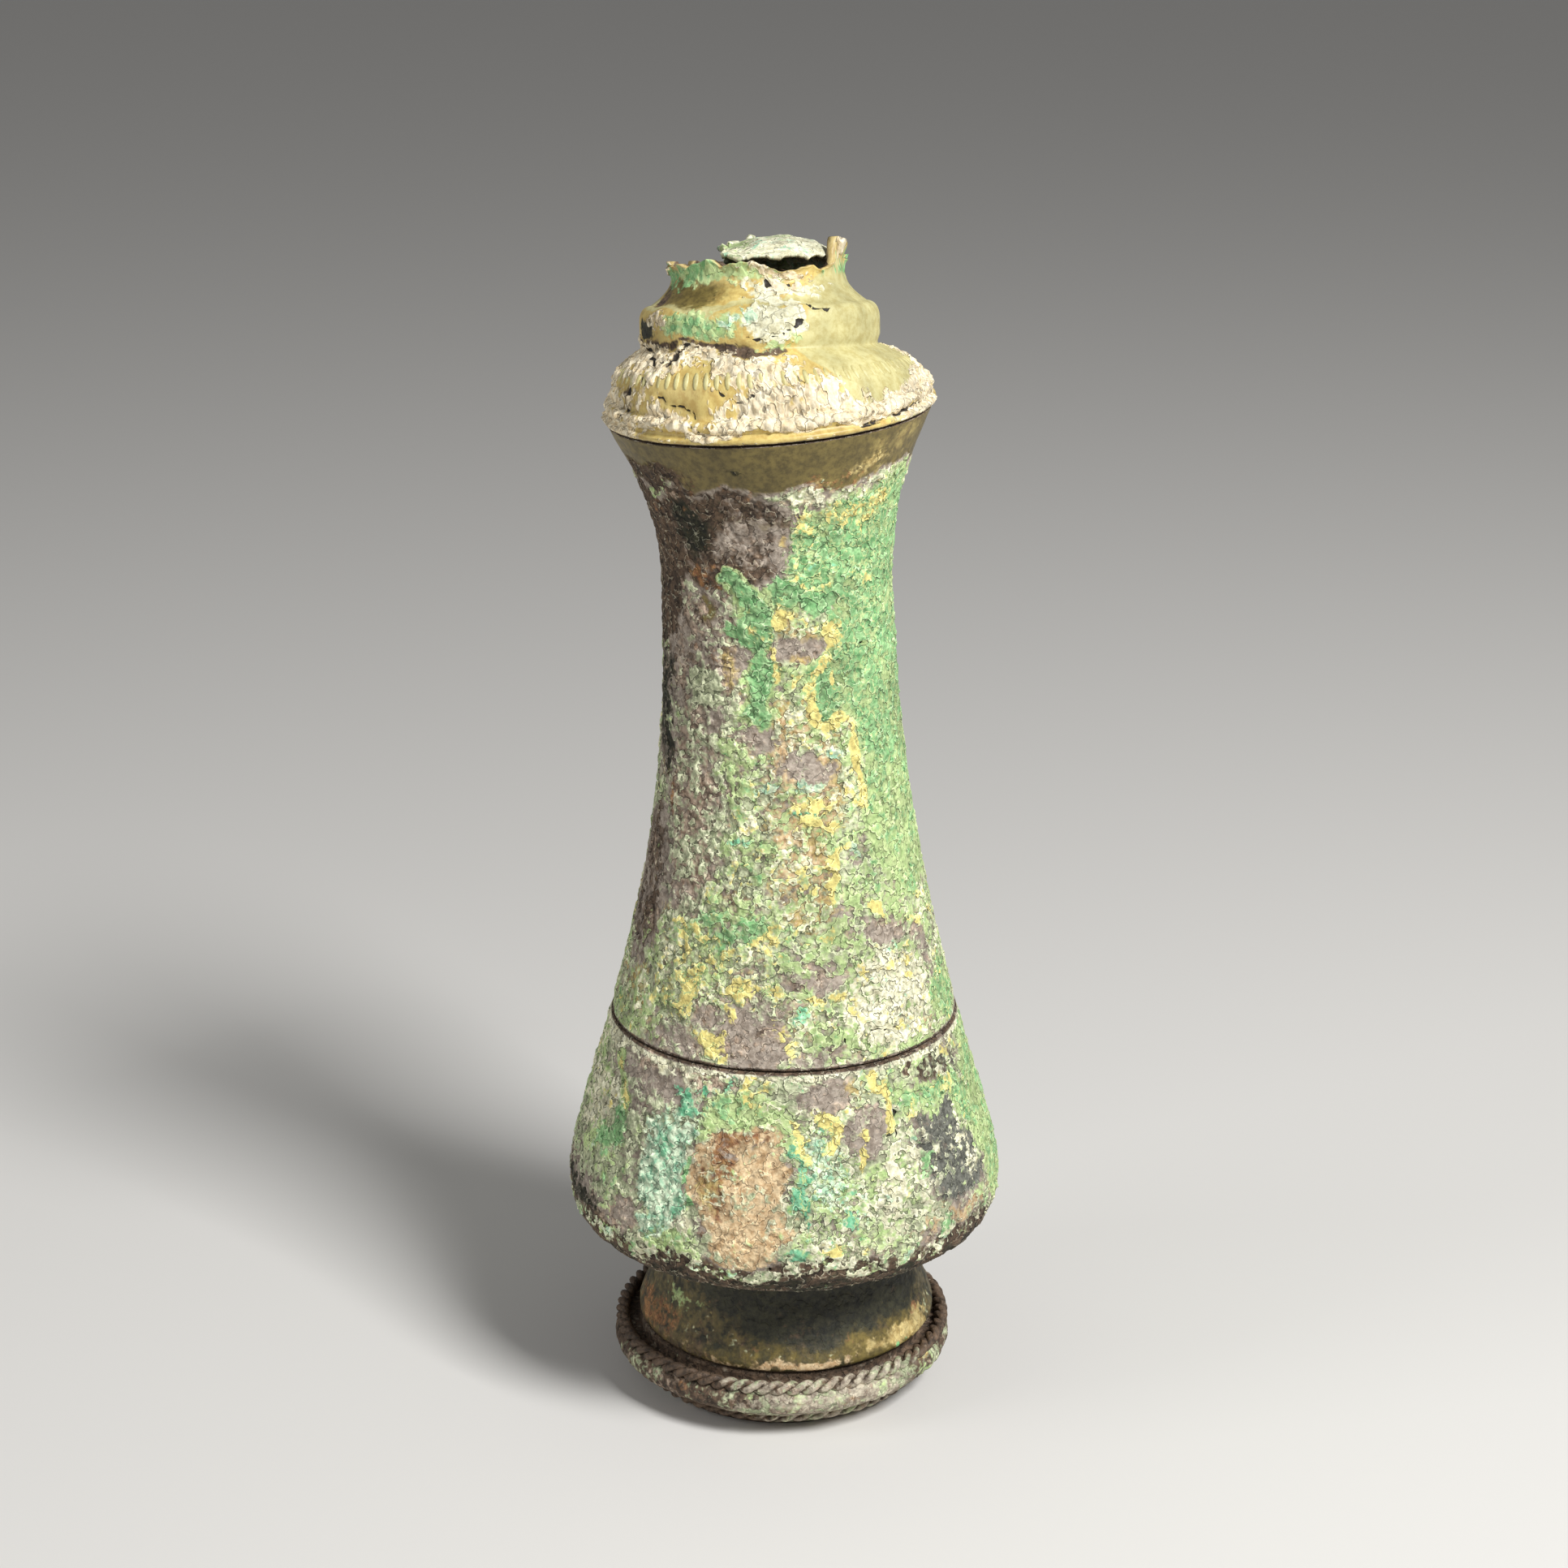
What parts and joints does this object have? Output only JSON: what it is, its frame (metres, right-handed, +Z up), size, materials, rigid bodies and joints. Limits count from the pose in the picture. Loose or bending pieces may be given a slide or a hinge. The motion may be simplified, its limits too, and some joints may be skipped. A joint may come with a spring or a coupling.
{
  "type": "bronze lime container",
  "caption": "Footed bronze lime container with a tall waisted lift-off cover, tiered crown and rope-moulded base ring, corroded and with its finial broken off.",
  "frame": {"origin": "centre of the bounding box's underside: the floor under the middle of the bowl", "axes": "+Z up, from the base ring to the broken finial; -Y towards the side that the picture shows; +X to the picture's right"},
  "size_m": [0.0594, 0.0594, 0.1599],
  "materials": {
    "ring_bronze": "worn bronze casting with grey-brown corrosion and pale soil in its rope mouldings",
    "foot_bronze": "dark green and brown patina with ochre patches",
    "bowl_bronze": "rough crust of malachite green, cream, ochre and charcoal corrosion",
    "cover_bronze": "mottled malachite green, mauve-grey, ochre and cream corrosion",
    "crown_bronze": "smooth ochre patina under a granular cream crust",
    "remnant_bronze": "thin torn sheet with pale green corrosion"
  },
  "bodies": {
    "base": {"base_ring": "ring_bronze", "foot": "foot_bronze", "bowl": "bowl_bronze"},
    "lid": {"cover": "cover_bronze", "crown": "crown_bronze", "finial_remnant": "remnant_bronze"}
  },
  "joints": [
    {"name": "cover_lift", "type": "slide", "parent": "base", "child": "lid", "axis": [0, 0, 1], "range_m": [0, 0.08]}
  ]
}
